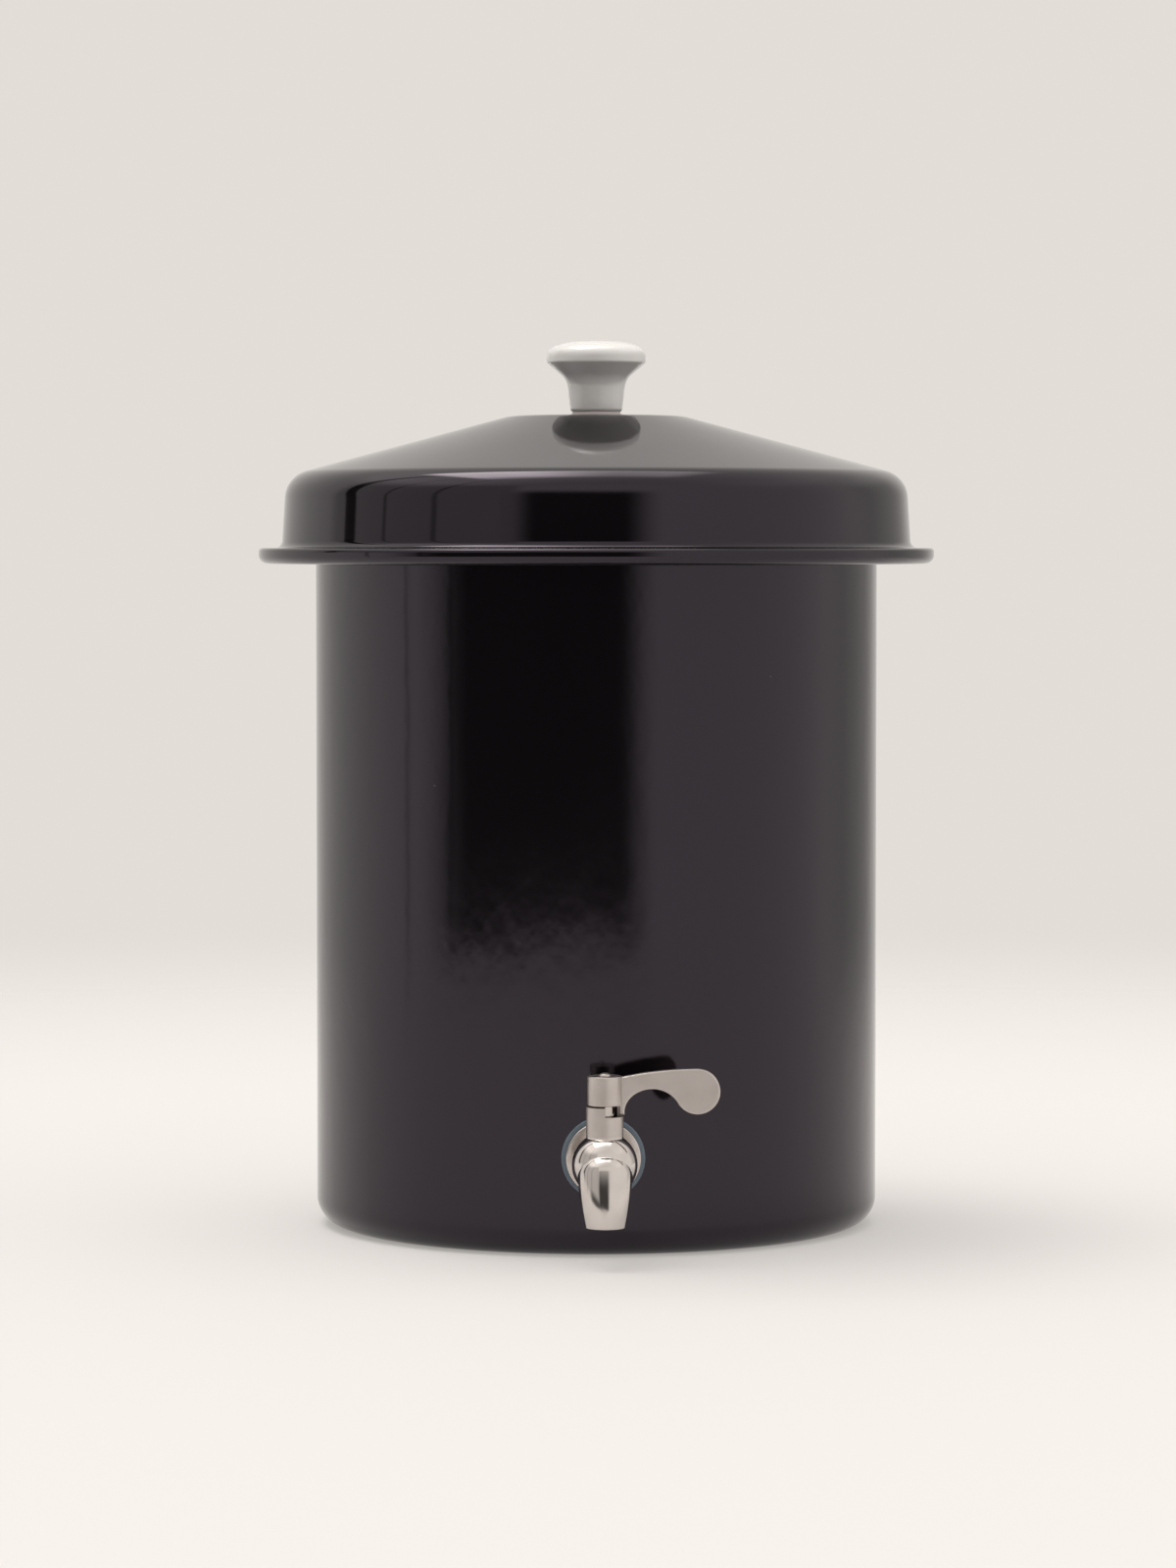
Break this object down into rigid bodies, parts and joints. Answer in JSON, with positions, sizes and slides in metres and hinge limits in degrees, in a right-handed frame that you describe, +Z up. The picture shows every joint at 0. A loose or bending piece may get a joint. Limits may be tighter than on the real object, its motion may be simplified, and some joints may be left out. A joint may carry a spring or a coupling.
{
  "type": "clay water filter",
  "caption": "Gravity water filter: black enamelled receptacle with lever tap, clay filter pot that hangs in its mouth, and domed enamelled lid with a porcelain knob.",
  "frame": {"origin": "middle of the receptacle's flat base, on the surface that it stands on", "axes": "+Z up along the receptacle's axis; -Y to the front, where the tap points; +X to the right, where the closed lever points"},
  "size_m": [0.3442, 0.3656, 0.45],
  "materials": {
    "enamel": "gloss black vitreous enamel on steel",
    "clay": "porous unglazed fired clay",
    "porcelain": "gloss white glaze",
    "brass": "turned",
    "pale_silicone": "matte, pale",
    "blue_silicone": "matte blue-grey",
    "stainless": "polished stainless steel",
    "white_plastic": "waxy white",
    "black_rubber": "matte"
  },
  "bodies": {
    "receptacle": {"receptacle": "enamel", "tap_shank": "stainless", "tap_outer_seal": "blue_silicone", "tap_inner_seal": "blue_silicone", "tap_flat_washer": "stainless", "tap_lock_nut": "stainless", "tap_body": "stainless", "seat_bush": "white_plastic", "thrust_washer": "white_plastic", "stem_o_ring": "black_rubber", "gland_nut": "stainless"},
    "filter": {"filter_pot": "clay"},
    "lid": {"lid_shell": "enamel", "lid_knob": "porcelain", "knob_insert": "brass", "knob_washer": "pale_silicone", "knob_inner_seal": "pale_silicone", "knob_flat_washer": "stainless", "knob_screw": "stainless"},
    "lever": {"tap_lever": "stainless", "lever_screw": "stainless", "valve_plug": "stainless"}
  },
  "joints": [
    {"name": "filter_lift", "type": "slide", "parent": "receptacle", "child": "filter", "axis": [0, 0, 1], "range_m": [0, 0.26]},
    {"name": "lid_lift", "type": "slide", "parent": "filter", "child": "lid", "axis": [0, 0, 1], "range_m": [0, 0.12]},
    {"name": "lever_turn", "type": "hinge", "parent": "receptacle", "child": "lever", "pos_m": [0, -0.171, 0.085], "axis": [0, 0, -1], "range_deg": [0, 72]}
  ]
}
